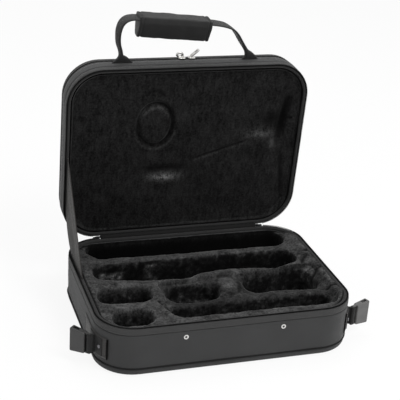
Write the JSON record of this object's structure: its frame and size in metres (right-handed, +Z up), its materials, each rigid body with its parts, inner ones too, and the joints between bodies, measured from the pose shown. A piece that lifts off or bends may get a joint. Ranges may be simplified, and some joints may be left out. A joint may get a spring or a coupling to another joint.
{
  "type": "clarinet case",
  "caption": "Soft-covered rigid instrument case with a zip-around lid on a fabric hinge, a fitted plush tray, a carry handle, an outer pocket and strap buckles.",
  "frame": {"origin": "middle of the base's underside", "axes": "+X to the case's right as its user opens it, -Y to its front, +Z up"},
  "size_m": [0.407, 0.3003, 0.3942],
  "materials": {
    "nylon": "woven ballistic nylon",
    "tape": "woven zip tape",
    "coil": "nylon coil",
    "piping": "binding tape",
    "plush": "short-pile plush over foam",
    "lining": "short-pile plush over foam",
    "webbing": "woven webbing",
    "grip": "padded nylon wrap",
    "patch": "coated nylon",
    "stay": "woven nylon",
    "buckle": "moulded acetal",
    "nickel": "nickel plate",
    "gunmetal": "black nickel plate"
  },
  "bodies": {
    "base": {"base_shell": "nylon", "base_piping": "piping", "base_rim_binding": "piping", "base_zip_tape": "tape", "base_zip_coil": "coil", "tray_insert": "plush", "side_patch_left": "patch", "side_patch_right": "patch", "strap_tab_left": "webbing", "strap_tab_right": "webbing", "patch_rivets": "nickel", "front_eyelets": "nickel", "hinge_panel": "nylon", "lid_stay": "stay", "main_slider_left": "gunmetal", "main_slider_right": "gunmetal"},
    "lid": {"lid_shell": "nylon", "lid_rim_binding": "piping", "lid_zip_tape": "tape", "lid_zip_coil": "coil", "lid_lining": "lining", "pocket_gusset": "nylon", "pocket_panel": "nylon", "pocket_zip_coil": "coil", "handle_foot_left": "webbing", "handle_foot_right": "webbing"},
    "handle": {"handle_strap": "webbing", "handle_grip": "grip"},
    "buckle_left": {"buckle_left": "buckle"},
    "buckle_right": {"buckle_right": "buckle"},
    "pocket_slider_left": {"pocket_slider_left": "nickel"},
    "pocket_slider_right": {"pocket_slider_right": "nickel"},
    "pocket_pull_left": {"pocket_pull_left": "nickel"},
    "pocket_pull_right": {"pocket_pull_right": "nickel"},
    "main_pull_left": {"main_pull_left": "gunmetal"},
    "main_pull_right": {"main_pull_right": "gunmetal"}
  },
  "joints": [
    {"name": "lid_hinge", "type": "hinge", "parent": "base", "child": "lid", "pos_m": [0, 0.1275, 0.0692], "axis": [-1, 0, 0], "range_deg": [-84.9, 5], "deforming": ["hinge_panel", "lid_stay"]},
    {"name": "handle_swing", "type": "hinge", "parent": "lid", "child": "handle", "pos_m": [0, 0.12652, 0.34119], "axis": [1, 0, 0], "range_deg": [-70, 85]},
    {"name": "buckle_left_swing", "type": "hinge", "parent": "base", "child": "buckle_left", "pos_m": [-0.17944, -0.09182, 0.0325], "axis": [0, 0, 1], "range_deg": [-20, 135]},
    {"name": "buckle_right_swing", "type": "hinge", "parent": "base", "child": "buckle_right", "pos_m": [0.17944, -0.09182, 0.0325], "axis": [0, 0, -1], "range_deg": [-45, 110]},
    {"name": "pocket_slide_left", "type": "slide", "parent": "lid", "child": "pocket_slider_left", "axis": [-1, 0, 0], "range_m": [0, 0.06]},
    {"name": "pocket_slide_right", "type": "slide", "parent": "lid", "child": "pocket_slider_right", "axis": [1, 0, 0], "range_m": [0, 0.058]},
    {"name": "pocket_pull_left_swing", "type": "hinge", "parent": "pocket_slider_left", "child": "pocket_pull_left", "pos_m": [-0.008, 0.13859, 0.32972], "axis": [0, 0.996, 0.0889], "range_deg": [-15, 135]},
    {"name": "pocket_pull_right_swing", "type": "hinge", "parent": "pocket_slider_right", "child": "pocket_pull_right", "pos_m": [0.006, 0.13859, 0.32972], "axis": [0, -0.996, -0.0889], "range_deg": [-40, 110]},
    {"name": "main_pull_left_swing", "type": "hinge", "parent": "base", "child": "main_pull_left", "pos_m": [-0.1233, 0.1312, 0.065], "axis": [0, 0, 1], "range_deg": [0, 150]},
    {"name": "main_pull_right_swing", "type": "hinge", "parent": "base", "child": "main_pull_right", "pos_m": [0.1233, 0.1312, 0.065], "axis": [0, 0, -1], "range_deg": [0, 150]}
  ]
}
